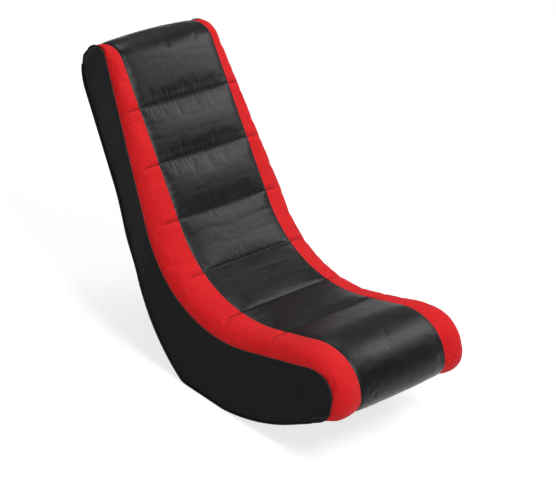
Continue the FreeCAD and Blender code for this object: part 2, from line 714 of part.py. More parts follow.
half_gap = size["upright_gap"] / 2
upright_run = dip_start - head_end - size["upright_drop"]
head_rail_at = upright_run - size["back_rail_height"]
for word, sign in SIDES:
    start = half_gap if sign > 0 else -half_gap - size["upright_thickness"]
    on_back("upright_" + word, 0.0, start, formula("upright_thickness"), "%f mm" % upright_run,
            formula("upright_depth"))
    start = half_gap + size["upright_thickness"] if sign > 0 else -rocker_outside + size["rocker_ply"]
    on_back("joint_block_" + word, 0.0, start, formula(
        "overall_width / 2 - cover_proud - side_cover - side_wadding - rocker_ply"
        " - upright_gap / 2 - upright_thickness"), formula("joint_block_length"),
        formula("upright_depth"))
for name, along in (("lumbar_rail", size["lumbar_rail_at"]),
                    ("middle_back_rail", (size["lumbar_rail_at"] + head_rail_at) / 2),
                    ("head_rail", head_rail_at)):
    on_back(name, along, -half_gap, formula("upright_gap"), formula("back_rail_height"),
            formula("rail_thickness"))

# Cardboard tack strips that hold the free ends of the rear and the underside panel.
for name, begin, width in (("top_tack_strip", cover_top - size["tack_width"] - 2.0, "upright_gap"),
                           ("front_tack_strip", cover_front + 2.0, "upright_gap + 50")):
    face = band_face(side, begin, begin + size["tack_width"], size["rear_cover"] + soft,
                     size["rear_cover"] + soft + size["tack_thickness"])
    keep(name, extrude(name + "_solid", face, formula(width)))

doc.recompute()
for made in doc.Objects:
    if "Invalid" in made.State or "Error" in made.State:
        raise RuntimeError("%s did not recompute: %s" % (made.Label, made.State))
labels = [made.Label for made in doc.Objects]
if len(labels) != len(set(labels)):
    raise RuntimeError("two objects share a label")
os.makedirs("parts", exist_ok=True)
for name, made in nodes:
    if made.Shape.isNull() or not made.Shape.isValid() or made.Shape.Volume <= 0.0:
        raise RuntimeError("%s has no sound solid" % name)
    made.Shape.exportStep("parts/%s.step" % name)
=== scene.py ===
import json
import math
import bpy
import numpy as np
from bpy.props import FloatProperty, FloatVectorProperty, IntProperty, PointerProperty
from mathutils import Matrix, Vector


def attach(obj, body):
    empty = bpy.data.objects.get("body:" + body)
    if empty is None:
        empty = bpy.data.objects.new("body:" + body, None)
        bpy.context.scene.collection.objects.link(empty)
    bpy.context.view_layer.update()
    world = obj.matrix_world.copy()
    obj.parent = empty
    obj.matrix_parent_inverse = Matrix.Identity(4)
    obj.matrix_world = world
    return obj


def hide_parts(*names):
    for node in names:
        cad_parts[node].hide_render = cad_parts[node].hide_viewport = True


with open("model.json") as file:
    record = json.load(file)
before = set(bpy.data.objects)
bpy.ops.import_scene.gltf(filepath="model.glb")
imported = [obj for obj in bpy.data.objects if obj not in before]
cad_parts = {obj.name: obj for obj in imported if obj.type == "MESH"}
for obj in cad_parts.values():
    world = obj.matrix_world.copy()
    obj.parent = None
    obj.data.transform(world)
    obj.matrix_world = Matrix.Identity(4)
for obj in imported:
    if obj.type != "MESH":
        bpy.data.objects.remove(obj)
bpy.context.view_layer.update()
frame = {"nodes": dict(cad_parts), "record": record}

bl_info = {
    "name": "Rocker Chair Looks",
    "version": (1, 0, 0),
    "blender": (4, 5, 0),
    "location": "3D View > Sidebar > Chair",
    "description": "Quilted panels, mesh strips, covers and finishes of a floor rocker chair",
    "category": "Object",
}

MM = 0.001


class Line:
    """A line of straight runs and rounds in the chair's middle plane, walked by its length.

    Runs are lengths in millimetres, rounds are (radius, turn) with right turns negative.
    """

    def __init__(self, start, heading, pieces):
        y, z = start
        length = 0.0
        rows = [(0.0, y, z, heading)]
        for piece in pieces:
            radius, turn = piece if isinstance(piece, tuple) else (0.0, 0.0)
            run = abs(radius * math.radians(turn)) if radius else piece
            count = max(2, int(run / 1.5))
            for step in range(1, count + 1):
                share = step / count
                if radius:
                    side = math.copysign(radius, turn)
                    first, now = math.radians(heading), math.radians(heading + turn * share)
                    at = (y + side * (math.sin(now) - math.sin(first)),
                          z - side * (math.cos(now) - math.cos(first)))
                else:
                    along = math.radians(heading)
                    at = (y + run * share * math.cos(along), z + run * share * math.sin(along))
                rows.append((length + run * share, at[0], at[1], heading + turn * share))
            y, z = at
            heading += turn
            length += run
        self.rows = np.array(rows)
        self.length = length

    def at(self, station, depth=0.0):
        """y and z in millimetres at stations, moved inwards by depth."""
        stations, ys, zs, headings = self.rows.T
        y, z, heading = (np.interp(station, stations, column) for column in (ys, zs, headings))
        angle = np.radians(heading)
        return y - depth * np.sin(angle), z + depth * np.cos(angle)


# The level of the quilted panels' seams: from behind the head, down the back, along the seat,
# round the nose and under the chin.
PAD = Line((510.5, 497.6), 90.0,
           [6.4, (47.0, 138.597), 356.81, (273.0, -64.992), 97.88, (105.0, 83.395),
            (28.0, 82.0), 38.0])
# The side panel's outline, from the rear of the head down the seat and back by the floor.
SIDE = Line((514.478, 511.744), 88.0,
            [(36.0, 142.879), 226.96, (900.0, -0.695), 154.89, (262.0, -66.974), 164.82,
             (52.0, 106.791), 17.0, (35.0, 57.361), 74.69, (400.0, 24.639), (100.0, 8.0), 95.0,
             (40.0, 30.0), (450.0, 23.160), 175.66, (400.0, -8.423), 198.13, (92.0, 43.263)])
CHANNELS = [221.17, 338.77, 456.37, 573.97, 691.57, 809.17]
COVER_FRONT, COVER_SEAM, COVER_TOP = 1121.4, 1689.2, 2148.3
SEAM_Y, HEAD_Y = 219.5, 463.5
PANEL_HALF = 133.3
HEAD_PAD_EXTRA = 2.3
WIDEST, NARROWEST, PROUD = 200.2, 158.5, 1.5


def half_width(y):
    """Side panel's face from the middle: straight in the seat, narrowing to the head."""
    share = np.clip((y - SEAM_Y) / (HEAD_Y - SEAM_Y), 0.0, None)
    return WIDEST - (WIDEST - NARROWEST) * share


def inside_side(y, z):
    """Whether points lie inside the side panel's outline."""
    ys, zs = SIDE.rows[:, 1], SIDE.rows[:, 2]
    found = np.zeros(np.shape(y), bool)
    for a in range(len(ys)):
        b = (a + 1) % len(ys)
        cross = (zs[a] > z) != (zs[b] > z)
        rise = zs[b] - zs[a]
        reach = ys[a] + (z - zs[a]) * (ys[b] - ys[a]) / (rise if rise else 1e-9)
        found ^= cross & (y < reach)
    return found


def seam_drops():
    """Depth of the side seam under the pad line, at stations along it."""
    stations = np.linspace(0.0, PAD.length, 180)
    depths = np.arange(2.0, 60.0, 0.5)
    grid_s, grid_d = np.meshgrid(stations, depths, indexing="ij")
    inside = inside_side(*PAD.at(grid_s, grid_d))
    first = np.where(inside.any(1), depths[inside.argmax(1)], 2.0)
    soft = np.convolve(np.pad(first, 2, mode="edge"), np.ones(5) / 5, mode="valid")
    return stations, soft


DROP_AT, DROP = seam_drops()


def waves(values, seed, lengths):
    """Smooth uneven ripples between about -1 and 1, the same on every run."""
    draw = np.random.default_rng(seed)
    total = np.zeros(np.shape(values))
    for length in lengths:
        phase, strength = draw.uniform(0, 6.283), draw.uniform(0.6, 1)
        total += np.sin(2 * math.pi * values / length + phase) * strength
    return total / len(lengths)


def bell(values, width):
    return np.exp(-(values / width) ** 2)


def ease(values, low, high):
    """0 at low, 1 at high, smooth between."""
    share = np.clip((values - low) / (high - low), 0.0, 1.0)
    return share * share * (3.0 - 2.0 * share)


def nose_swell(station):
    """How far the stuffing pushes the cover out round the nose."""
    return 11.0 * bell(station - 1005.0, 85.0)


def rear_swell(station):
    """How far the rear cover and the side's rear edge stand off the frame along the back."""
    return 8.0 * ease(station, 1700.0, 1800.0) * (1.0 - 0.8 * ease(station, 2150.0, 2235.0))


class ChairSizes(bpy.types.PropertyGroup):
    crown: FloatProperty(name="Crown", description="Rise of a stuffed panel over its seams",
                         default=0.0072, unit="LENGTH")
    cell: FloatProperty(name="Mesh cell", description="Pitch of the mesh fabric's holes",
                        default=0.0042, unit="LENGTH")
    swell_limit: FloatProperty(name="Swell limit", description="Most that stuffing moves a cover",
                               default=0.007, unit="LENGTH")
    frames: IntProperty(name="Stuffing frames", description="Frames the stuffing takes",
                        default=20)


class ChairColours(bpy.types.PropertyGroup):
    panel: FloatVectorProperty(name="Panels", description="Faux leather of the quilted panels",
                               default=(0.0035, 0.0035, 0.004), size=3, subtype="COLOR")
    side: FloatVectorProperty(name="Sides", description="Faux leather of the sides and rear",
                              default=(0.0022, 0.0022, 0.0025), size=3, subtype="COLOR")
    mesh: FloatVectorProperty(name="Mesh", description="Threads of the mesh fabric",
                              default=(0.60, 0.005, 0.008), size=3, subtype="COLOR")
    floor: FloatVectorProperty(name="Floor", description="Floor under the chair",
                               default=(0.86, 0.86, 0.86), size=3, subtype="COLOR")


CHANNEL_PITCH = (CHANNELS[1] - CHANNELS[0]) * MM
BEFORE_FIRST, FIRST, LAST, PAST_LAST = 0.19, 0.20, 0.83, 0.84


class Value:
    """A shader socket on which plain sums can be written."""

    def __init__(self, tree, socket):
        self.tree, self.socket = tree, socket

    def maths(self, operation, *others):
        node = self.tree.nodes.new("ShaderNodeMath")
        node.operation = operation
        for slot, term in enumerate(others):
            if isinstance(term, Value):
                self.tree.links.new(term.socket, node.inputs[slot])
            else:
                node.inputs[slot].default_value = term
        return Value(self.tree, node.outputs[0])

    def __add__(self, other):
        return self.maths("ADD", self, other)

    def __radd__(self, other):
        return self.maths("ADD", other, self)

    def __sub__(self, other):
        return self.maths("SUBTRACT", self, other)

    def __rsub__(self, other):
        return self.maths("SUBTRACT", other, self)

    def __mul__(self, other):
        return self.maths("MULTIPLY", self, other)

    def __rmul__(self, other):
        return self.maths("MULTIPLY", other, self)

    def __truediv__(self, other):
        return self.maths("DIVIDE", self, other)

    def __pow__(self, other):
        return self.maths("POWER", self, other)

    def size(self):
        return self.maths("ABSOLUTE", self)

    def wrap(self, length):
        return self.maths("FLOORED_MODULO", self, length)

    def least(self, other):
        return self.maths("MINIMUM", self, other)

    def most(self, other):
        return self.maths("MAXIMUM", self, other)

    def step(self, low, high):
        """0 below low, 1 above high, eased between."""
        node = self.tree.nodes.new("ShaderNodeMapRange")
        node.interpolation_type = "SMOOTHSTEP"
        self.tree.links.new(self.socket, node.inputs["Value"])
        node.inputs["From Min"].default_value = low
        node.inputs["From Max"].default_value = high
        return Value(self.tree, node.outputs["Result"])


class Finish:
    """A material with its main shader, and short ways to add nodes."""

    def __init__(self, name, **constants):
        self.material = bpy.data.materials.new(name)
        self.material.use_nodes = True
        self.tree = self.material.node_tree
        self.shader = self.tree.nodes["Principled BSDF"]
        for key, constant in constants.items():
            self.shader.inputs[key.replace("_", " ")].default_value = constant

    def node(self, kind, settings=None, **inputs):
        """A node of a type, its settings set first, then its sockets' values or links."""
        made = self.tree.nodes.new(kind)
        for key, setting in (settings or {}).items():
            setattr(made, key, setting)
        for key, term in inputs.items():
            socket = made.inputs[key.replace("_", " ")]
            if isinstance(term, Value):
                self.tree.links.new(term.socket, socket)
            else:
                socket.default_value = term
        return made

    def value(self, node, output=0):
        return Value(self.tree, node.outputs[output])

    def place(self):
        return self.value(self.node("ShaderNodeTexCoord"), "Object")

    def cloth_place(self):
        """The piece's own UV map, in metres along and across the cloth."""
        split = self.node("ShaderNodeSeparateXYZ",
                          Vector=self.value(self.node("ShaderNodeUVMap", {"uv_map": "UVMap"})))
        return self.value(split, 0), self.value(split, 1)

    def noise(self, vector, scale, detail=3.0, roughness=0.55):
        made = self.node("ShaderNodeTexNoise", Vector=vector, Scale=scale, Detail=detail,
                         Roughness=roughness)
        return self.value(made, 0)

    def cells(self, vector, scale, feature="F1"):
        made = self.node("ShaderNodeTexVoronoi", {"feature": feature}, Vector=vector, Scale=scale)
        return self.value(made, 0)

    def join(self, x, y, z):
        made = self.node("ShaderNodeCombineXYZ", X=x, Y=y, Z=z)
        return self.value(made)

    def mix(self, share, first, second):
        made = self.tree.nodes.new("ShaderNodeMix")
        made.data_type = "RGBA"
        self.tree.links.new(share.socket, made.inputs[0])
        for slot, colour in ((6, first), (7, second)):
            if isinstance(colour, Value):
                self.tree.links.new(colour.socket, made.inputs[slot])
            else:
                made.inputs[slot].default_value = (*colour, 1.0)
        return Value(self.tree, made.outputs[2])

    def feed(self, **sockets):
        for key, term in sockets.items():
            self.tree.links.new(term.socket, self.shader.inputs[key.replace("_", " ")])

    def bump(self, height, distance, strength=1.0):
        made = self.node("ShaderNodeBump", Strength=strength, Distance=distance, Height=height)
        self.feed(Normal=self.value(made, "Normal"))


def channel_gap(along):
    """Distance to the nearest stitched channel, in metres along the cloth."""
    from_first = along + (CHANNEL_PITCH / 2 - CHANNELS[0] * MM)
    return (from_first.wrap(CHANNEL_PITCH) - CHANNEL_PITCH / 2).size()


def between_channels(along):
    """1 from the first channel to the last, 0 behind the head and round the nose."""
    return along.step(BEFORE_FIRST, FIRST) * along.step(PAST_LAST, LAST)


def faux_leather(name, colour, roughness, gloss, coat, wrinkle, stitched=None):
    """Grained, lightly creased faux leather. Where stitched, that is the thread's pitch in metres,
    and the cover gets thread beside its side seams and fine gathers at its channels."""
    finish = Finish(name, Coat_Weight=coat, Coat_Roughness=0.25, Specular_IOR_Level=gloss)
    place = finish.place()
    grain = finish.cells(place, 1150.0)
    pores = finish.noise(place, 2600.0, 2.0)
    folds = finish.noise(place, 42.0, 4.0, 0.5)
    fine = finish.noise(place, 170.0, 3.0)
    cloud = finish.noise(place, 9.0, 3.0)
    height = grain * 0.16 + pores * 0.05 + folds * (2.6 * wrinkle) + fine * (0.5 * wrinkle)
    worn = cloud.step(0.35, 0.75) * 0.5 + folds.step(0.45, 0.7) * 0.3
    dark = tuple(channel * 0.72 for channel in colour)
    light = tuple(channel * 1.75 for channel in colour)
    paint = finish.mix(worn, dark, light)
    rough = roughness + worn * 0.14 + grain * 0.05
    if stitched:
        along, across = finish.cloth_place()
        near_side = (across.size() - (PANEL_HALF * MM - 0.0042)).size().step(0.0011, 0.0005)
        dash = along.wrap(stitched).step(0.0011, 0.0016)
        thread = near_side * dash
        sewn = channel_gap(along).step(0.020, 0.003) * between_channels(along)
        ticks = finish.noise(finish.join(across * 170.0, along * 12.0, 0.0), 1.0, 2.0)
        height = height + ticks * sewn * 1.5 + thread * 0.9
        paint = finish.mix(thread, paint, (0.010, 0.010, 0.011))
        rough = rough + thread * 0.25
    finish.feed(Base_Color=paint, Roughness=rough)
    finish.bump(height, 0.0011)
    return finish.material


def spacer_mesh(name, colour, cell):
    """Air mesh: rows of round holes in a knitted face, the holes painted darker as painted shade in
    them, creased where the channels' stitching runs into it, with painted shade along those
    creases."""
    finish = Finish(name, Sheen_Weight=0.02, Sheen_Roughness=0.45, Specular_IOR_Level=0.14)
    along, across = finish.cloth_place()
    x, y = along / cell, across / cell
    tall = math.sqrt(3.0)
    first_x, first_y = x.wrap(1.0) - 0.5, y.wrap(tall) - tall / 2
    second_x, second_y = (x + 0.5).wrap(1.0) - 0.5, (y + tall / 2).wrap(tall) - tall / 2
    reach = (first_x * first_x + first_y * first_y).least(second_x * second_x + second_y * second_y)
    wall = (reach ** 0.5).step(0.27, 0.42)
    place = finish.place()
    knit = finish.noise(place, 1900.0, 2.0)
    cloud = finish.noise(place, 14.0, 3.0)
    # painted shade: the mesh is coloured darker along the creases at the stitched channels, between
    # the first and last channel and near the inner seam
    drawn = between_channels(along) * across.step(0.040, 0.022)
    crease = channel_gap(along).step(0.0030, 0.0006) * drawn
    # painted shade: the holes are coloured darker than the threads for the shade inside them
    hole_shade = tuple(channel * 0.40 for channel in colour)
    # darker colour of the painted crease shade
    deep = tuple(channel * 0.28 for channel in colour)
    lit = tuple(min(1.0, channel * 1.22 + 0.006) for channel in colour)
    thread = finish.mix((knit * 0.6 + cloud * 0.6).step(0.35, 0.85), colour, lit)
    finish.feed(Base_Color=finish.mix(crease * 0.75, finish.mix(wall, hole_shade, thread), deep),
                Roughness=0.62 + knit * 0.25)
    finish.bump(wall * 0.75 + knit * 0.25 + cloud * 0.5, 0.0007, 0.8)
    return finish.material


def thread_finish():
    finish = Finish("black_welt", Specular_IOR_Level=0.35)
    place = finish.place()
    twist = finish.noise(place, 900.0, 2.0)
    finish.feed(Base_Color=finish.mix(twist, (0.006, 0.006, 0.006), (0.030, 0.028, 0.028)),
                Roughness=0.5 + twist * 0.2)
    finish.bump(twist, 0.0004)
    return finish.material


def foam_finish():
    finish = Finish("cut_foam", Specular_IOR_Level=0.2)
    place = finish.place()
    pores = finish.cells(place, 700.0)
    cloud = finish.noise(place, 20.0)
    finish.feed(Base_Color=finish.mix(cloud, (0.50, 0.44, 0.28), (0.62, 0.56, 0.38)),
                Roughness=0.85 + pores * 0.1)
    finish.bump(pores, 0.0006)
    return finish.material


def wadding_finish():
    finish = Finish("polyester_wadding", Specular_IOR_Level=0.2)
    place = finish.place()
    fibres = finish.noise(place, 600.0, 5.0, 0.7)
    finish.feed(Base_Color=finish.mix(fibres, (0.62, 0.62, 0.60), (0.80, 0.80, 0.78)),
                Roughness=0.85 + fibres * 0.1)
    finish.bump(fibres, 0.0008)
    return finish.material


def wood_finish(name, pale, dark, ply):
    """Sawn pine, or plywood with its layers."""
    finish = Finish(name, Specular_IOR_Level=0.35)
    split = finish.node("ShaderNodeSeparateXYZ", Vector=finish.place())
    x, y, z = (finish.value(split, slot) for slot in range(3))
    drift = finish.noise(finish.join(x * 4.0, y * 14.0, z * 14.0), 2.0, 3.0)
    rings = ((y + z * 1.3) * (240.0 if ply else 90.0) + drift * 4.0).wrap(1.0)
    band = (rings - 0.5).size() * 2.0
    fleck = finish.noise(finish.join(x * 30.0, y * 500.0, z * 500.0), 1.0, 2.0)
    finish.feed(Base_Color=finish.mix(band * 0.6 + fleck * 0.4, pale, dark),
                Roughness=0.55 + fleck * 0.25)
    finish.bump(band * 0.4 + fleck, 0.0003)
    return finish.material


def steel_finish():
    finish = Finish("zinc_screw", Metallic=1.0)
    marks = finish.noise(finish.place(), 1500.0, 2.0)
    finish.feed(Base_Color=finish.mix(marks, (0.50, 0.50, 0.52), (0.66, 0.66, 0.66)),
                Roughness=0.32 + marks * 0.2)
    finish.bump(marks, 0.0002)
    return finish.material


def board_finish():
    finish = Finish("grey_board", Specular_IOR_Level=0.25)
    place = finish.place()
    fibres = finish.noise(place, 350.0, 4.0, 0.65)
    finish.feed(Base_Color=finish.mix(fibres, (0.20, 0.14, 0.09), (0.34, 0.25, 0.17)),
                Roughness=0.75 + fibres * 0.15)
    finish.bump(fibres, 0.0003)
    return finish.material


def only(*objects):
    """Selects these objects and nothing else, the first as the active one."""
    bpy.ops.object.select_all(action="DESELECT")
    for item in objects:
        item.select_set(True)
    bpy.context.view_layer.objects.active = objects[0]


def cloth_grid(name, columns, rows, place, spread):
    """A flat cut of cloth laid on a surface: place gives x, y, z and spread the cloth's own
    lengths, both from shares across (left to right) and along (from the grid's first row)."""
    bpy.ops.object.select_all(action="DESELECT")
    bpy.ops.mesh.primitive_grid_add(x_subdivisions=columns, y_subdivisions=rows, size=1.0)
    piece = bpy.context.active_object
    piece.name = name
    piece.data.name = name
    flat = np.empty(len(piece.data.vertices) * 3)
    piece.data.vertices.foreach_get("co", flat)
    flat = flat.reshape(-1, 3)
    across, along = flat[:, 0] + 0.5, flat[:, 1] + 0.5
    set_points(piece, np.stack(place(across, along), 1) * MM)
    corners = np.empty(len(piece.data.loops), int)
    piece.data.loops.foreach_get("vertex_index", corners)
    lengths = np.stack(spread(across, along), 1)[corners] * MM
    piece.data.uv_layers["UVMap"].data.foreach_set("uv", lengths.ravel())
    return piece


def points(piece):
    flat = np.empty(len(piece.data.vertices) * 3)
    piece.data.vertices.foreach_get("co", flat)
    return flat.reshape(-1, 3)


def set_points(piece, places):
    piece.data.vertices.foreach_set("co", np.ascontiguousarray(places).ravel())
    piece.data.update()


def modify(piece, kind, **settings):
    """Adds a modifier and applies it."""
    only(piece)
    made = piece.modifiers.new(kind.title(), kind)
    for key, setting in settings.items():
        setattr(made, key, setting)
    bpy.ops.object.modifier_apply(modifier=made.name)


def stuff(pieces, pressure, slack, limit, frames):
    """Blows covers up from below with their seams held, then keeps each point near its start."""
    starts = [points(piece) for piece in pieces]
    for piece in pieces:
        seam = piece.vertex_groups.new(name="seam")
        counts = np.zeros(len(piece.data.vertices), int)
        for face in piece.data.polygons:
            for corner in face.vertices:
                counts[corner] += 1
        seam.add([int(index) for index in np.where(counts < 4)[0]], 1.0, "REPLACE")
        cloth = piece.modifiers.new("Cloth", "CLOTH")
        cloth.settings.quality = 6
        cloth.settings.mass = 0.25
        cloth.settings.tension_stiffness = 20.0
        cloth.settings.compression_stiffness = 20.0
        cloth.settings.shear_stiffness = 6.0
        cloth.settings.bending_stiffness = 1.2
        cloth.settings.air_damping = 4.0
        cloth.settings.use_pressure = True
        cloth.settings.uniform_pressure_force = pressure
        cloth.settings.shrink_min = -slack
        cloth.settings.vertex_group_mass = seam.name
        cloth.settings.effector_weights.gravity = 0.0
        cloth.point_cache.frame_end = frames
    scene = bpy.context.scene
    for number in range(1, frames + 1):
        scene.frame_set(number)
    for piece, start in zip(pieces, starts):
        only(piece)
        bpy.ops.object.modifier_apply(modifier="Cloth")
        moved = points(piece) - start
        reach = np.linalg.norm(moved, axis=1, keepdims=True)
        kept = limit * np.tanh(reach / limit) / np.maximum(reach, 1e-9)
        set_points(piece, start + moved * kept)
        piece.vertex_groups.clear()
    scene.frame_set(1)


def finish_piece(piece, material, nodes):
    """Material, slot and body of a finished piece, and the CAD nodes it stands for."""
    piece.data.materials.clear()
    piece.data.materials.append(material)
    only(piece)
    bpy.ops.object.shade_smooth_by_angle(angle=math.radians(50))
    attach(piece, "root")
    if nodes:
        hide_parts(*nodes)


def panel_place(begin, end, crown, number):
    """Where a quilted panel's cover lies, with its gathers along the stitched channels."""
    def place(across, along):
        station = end - (end - begin) * along
        v = across * 2.0 - 1.0
        x = v * PANEL_HALF
        share = np.clip((station - begin) / (end - begin), 0.0, 1.0)
        swell = crown * np.sqrt(np.sin(math.pi * share) + 1e-9) * np.sqrt(1.0 - v * v + 1e-9) ** 0.8
        # short gathers fan out from each seam, the more so at the left
        heavy = 0.75 + 0.6 * np.clip(-v, 0, 1) ** 2
        head, tail = station - begin, end - station
        ticks = waves(x, 10 + number, (6.9, 8.3, 10.1, 13.7))
        more = waves(x, 40 + number, (7.3, 9.1, 11.9, 16.1))
        swell += heavy * 0.95 * ticks * np.exp(-head / 9.0) * np.minimum(1.0, head / 3.0)
        swell += heavy * 0.55 * more * np.exp(-tail / 8.0) * np.minimum(1.0, tail / 3.0)
        # shallow creases run the length of the channel
        crease = waves(x, 70 + number, (90.0, 143.0, 210.0)) * 7.0
        for offset, deep in ((0.34, 0.4), (0.62, 0.3)):
            line = begin + (end - begin) * offset + crease
            uneven = 0.4 + 0.6 * np.abs(np.sin(x / 47.0 + number))
            swell -= deep * bell(station - line, 4.5) * uneven
        side = (1.0 - np.abs(v)) * PANEL_HALF
        folds = waves(station, 90 + number, (11.0, 17.0, 27.0))
        swell += 0.35 * folds * np.exp(-side / 14.0) * np.minimum(1.0, side / 4.0)
        y, z = PAD.at(station, -swell - nose_swell(station))
        return x, y, z

    def spread(across, along):
        return (end - (end - begin) * along), (across * 2.0 - 1.0) * PANEL_HALF

    return place, spread


class CHAIR_OT_centre_panels(bpy.types.Operator):
    """Seven stuffed faux leather panels between the stitched channels"""
    bl_idname = "chair.centre_panels"
    bl_label = "Quilted Panels"

    def execute(self, context):
        sizes, colours = context.scene.chair_sizes, context.scene.chair_colours
        leather = faux_leather("quilted_faux_leather", tuple(colours.panel), 0.26, 0.17, 0.06,
                               0.30, 0.0048)
        ends = [0.0] + CHANNELS + [PAD.length]
        made = []
        for number in range(len(ends) - 1):
            begin = ends[number] + (0.3 if number else 0.0)
            end = ends[number + 1] - (0.3 if number < len(CHANNELS) else 0.0)
            # the pad over the head is thicker than the others
            crown = sizes.crown / MM + (0.0 if number else HEAD_PAD_EXTRA)
            place, spread = panel_place(begin, end, crown, number)
            made.append(cloth_grid("quilted_panel_%d" % (number + 1), 76,
                                   int((end - begin) / 3.4), place, spread))
        stuff(made, 1.0, 0.002, sizes.swell_limit * 0.22, sizes.frames)
        for number, piece in enumerate(made):
            modify(piece, "SUBSURF", levels=1, render_levels=1)
            modify(piece, "SOLIDIFY", thickness=0.003, offset=-1.0)
            finish_piece(piece, leather,
                         ["centre_panel_%d" % (number + 1)])
        return {"FINISHED"}


def strip_place(sign):
    """Where a mesh strip lies: from the panel's seam over the edge to the side seam."""
    inner = PANEL_HALF + 0.3

    def place(across, along):
        t = across if sign > 0 else 1.0 - across
        station = PAD.length * (1.0 - along)
        drop = np.interp(station, DROP_AT, DROP)
        y_edge, z_edge = PAD.at(station, drop)
        width = half_width(y_edge) - inner
        bend = t * math.pi / 2
        x = inner + width * np.sin(bend)
        # behind the head the side panel laps over the strip's edge
        x = x - 3.2 * (1.0 - ease(drop, 3.0, 12.0)) * ease(t, 0.5, 0.95)
        depth = drop * (1.0 - np.cos(bend))
        puff = 2.4 * np.sin(math.pi * t) ** 0.7
        for number, seam in enumerate(CHANNELS):
            fade = np.clip(1.0 - t / 0.62, 0.0, 1.0)
            bow = station - seam - 5.0 * t * math.sin(number * 2.1 + sign)
            puff -= 4.6 * bell(bow, 4.6) * fade * np.minimum(1.0, t / 0.04)
            puff += 1.5 * bell(np.abs(bow) - 12.0, 7.0) * fade * np.minimum(1.0, t / 0.06)
        puff += 0.55 * waves(station + 14.0 * t, 5, (21.0, 34.0, 55.0)) * np.sin(math.pi * t)
        puff += 0.5 * waves(station, 6, (9.0, 14.0)) * bell(t - 1.0, 0.2) * np.sin(math.pi * t)
        puff += 8.0 * bell(station - 1000.0, 110.0) * np.sin(math.pi * t)
        depth = depth - nose_swell(station) * np.cos(bend)
        tilt_x, tilt_out = drop * np.sin(bend), width * np.cos(bend)
        whole = np.hypot(tilt_x, tilt_out) + 1e-6
        x = x + puff * tilt_x / whole * ease(drop, 0.0, 10.0)
        y, z = PAD.at(station, depth - puff * tilt_out / whole)
        return sign * x, y, z

    def spread(across, along):
        t = across if sign > 0 else 1.0 - across
        station = PAD.length * (1.0 - along)
        drop = np.interp(station, DROP_AT, DROP)
        y_edge, z_edge = PAD.at(station, drop)
        return station, t * np.hypot(half_width(y_edge) - inner, drop) * 1.1

    return place, spread


class CHAIR_OT_mesh_strips(bpy.types.Operator):
    """Stuffed strips of red mesh along both edges, from behind the head to under the nose"""
    bl_idname = "chair.mesh_strips"
    bl_label = "Mesh Strips"

    def execute(self, context):
        sizes, colours = context.scene.chair_sizes, context.scene.chair_colours
        mesh = spacer_mesh("spacer_mesh", tuple(colours.mesh), sizes.cell)
        made = []
        for word, sign in (("left", -1), ("right", 1)):
            place, spread = strip_place(sign)
            made.append(cloth_grid("mesh_edge_" + word, 26, 300, place, spread))
        stuff(made, 1.0, 0.005, sizes.swell_limit * 0.3, sizes.frames)
        for piece, word in zip(made, ("left", "right")):
            modify(piece, "SUBSURF", levels=1, render_levels=1)
            modify(piece, "SOLIDIFY", thickness=0.0035, offset=-1.0)
            finish_piece(piece, mesh, ["mesh_strip_" + word])
        return {"FINISHED"}


class CHAIR_OT_side_panels(bpy.types.Operator):
    """Faux leather side panels, with gathers near the head and an upright seam"""
    bl_idname = "chair.side_panels"
    bl_label = "Side Panels"

    def execute(self, context):
        colours = context.scene.chair_colours
        leather = faux_leather("side_faux_leather", tuple(colours.side), 0.46, 0.10, 0.0,
                               0.18)
        nose = 1066.0
        for word, sign in (("left", -1), ("right", 1)):
            def place(across, along, sign=sign):
                rise = along if sign < 0 else 1.0 - along
                upper = across * nose
                lower = SIDE.length - across * (SIDE.length - nose)
                top, low = SIDE.at(upper, 0.5), SIDE.at(lower, 1.2 - rear_swell(lower))
                y = low[0] + (top[0] - low[0]) * rise
                z = low[1] + (top[1] - low[1]) * rise
                below = (1.0 - rise) * np.hypot(top[0] - low[0], top[1] - low[1])
                edge = np.minimum(1.0, np.minimum(rise, 1.0 - rise) / 0.06)
                out = -0.2 + 0.8 * waves(y + 0.4 * z, 21, (61.0, 97.0, 150.0)) * edge
                heavy = bell(upper - 150.0, 110.0) + 0.25
                gather = waves(upper + below * 0.35, 22, (13.0, 19.0, 29.0))
                out += 1.5 * heavy * gather * np.exp(-below / 26.0) * np.minimum(1, below / 5.0)
                out = np.maximum(out - 1.1 * bell(y - SEAM_Y, 3.2), -1.3)
                return sign * (half_width(y) + out), y, z

            def spread(across, along, sign=sign):
                return across * nose, along * 200.0

            piece = cloth_grid("side_panel_" + word, 300, 44, place, spread)
            only(piece)
            bpy.ops.object.mode_set(mode="EDIT")
            bpy.ops.mesh.select_all(action="SELECT")
            bpy.ops.mesh.remove_doubles(threshold=0.0002)
            bpy.ops.object.mode_set(mode="OBJECT")
            modify(piece, "SOLIDIFY", thickness=0.0018, offset=-1.0)
            finish_piece(piece, leather,
                         ["side_cover_lower_" + word, "side_cover_upper_" + word])
        return {"FINISHED"}


